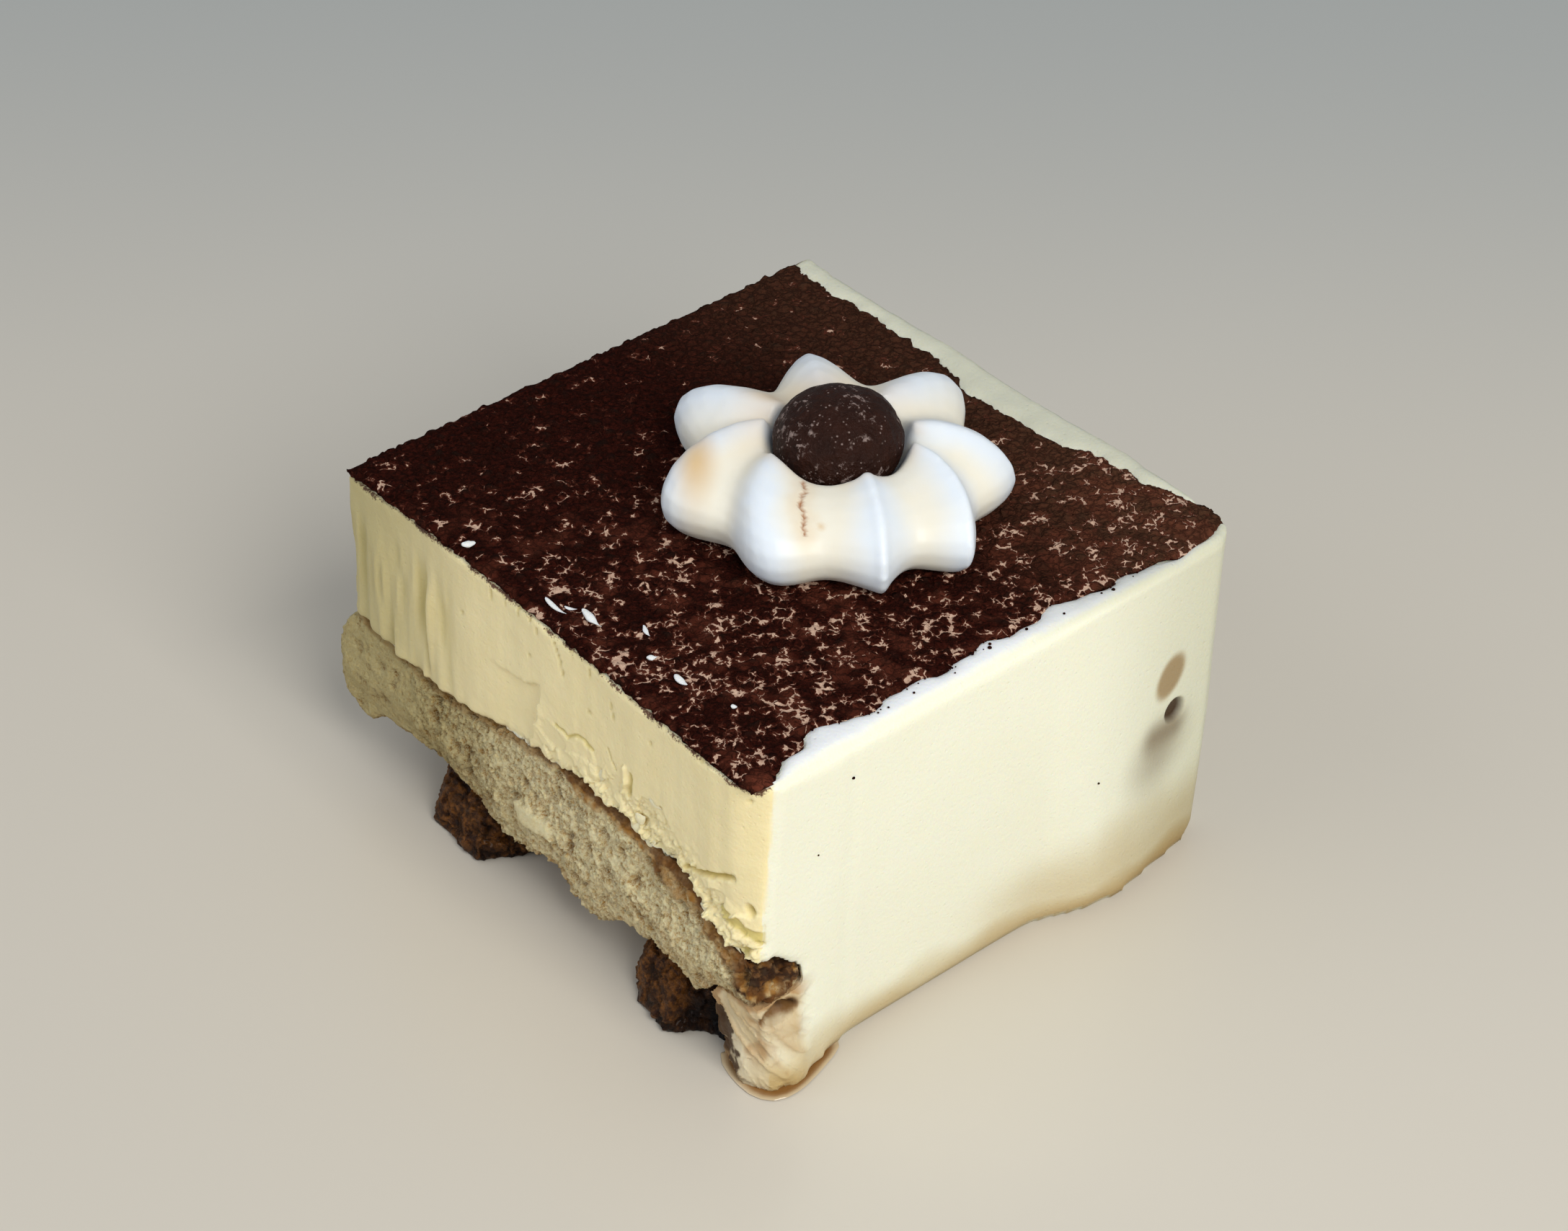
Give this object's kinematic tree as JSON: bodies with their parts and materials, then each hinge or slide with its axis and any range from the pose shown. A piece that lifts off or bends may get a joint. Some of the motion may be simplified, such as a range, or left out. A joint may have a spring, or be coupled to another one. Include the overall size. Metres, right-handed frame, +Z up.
{
  "type": "tiramisu slice",
  "caption": "Square slice of layered cream and sponge dessert with a cocoa top, a piped meringue flower and a chocolate ball.",
  "frame": {"origin": "centre of the whole slice's box, on the surface that it stands on", "axes": "+Z up; the smooth cream outer sides face +X and +Y, and the cut sides that show the layers face -X and -Y"},
  "size_m": [0.0856, 0.0786, 0.0626],
  "materials": {
    "cream": "soft satin, slightly translucent mascarpone cream",
    "sponge": "dry, open, fibrous ladyfinger crumb",
    "soaked_sponge": "wet, coffee-soaked crumb",
    "cocoa": "dry, clumped cocoa powder",
    "meringue": "smooth, satin baked meringue with toasted patches",
    "chocolate": "glossy, slightly lumpy dark chocolate"
  },
  "bodies": {
    "root": {"cream": "cream", "sponge": "sponge", "soaked_sponge": "soaked_sponge", "cocoa": "cocoa", "meringue": "meringue", "chocolate_ball": "chocolate"}
  },
  "joints": []
}
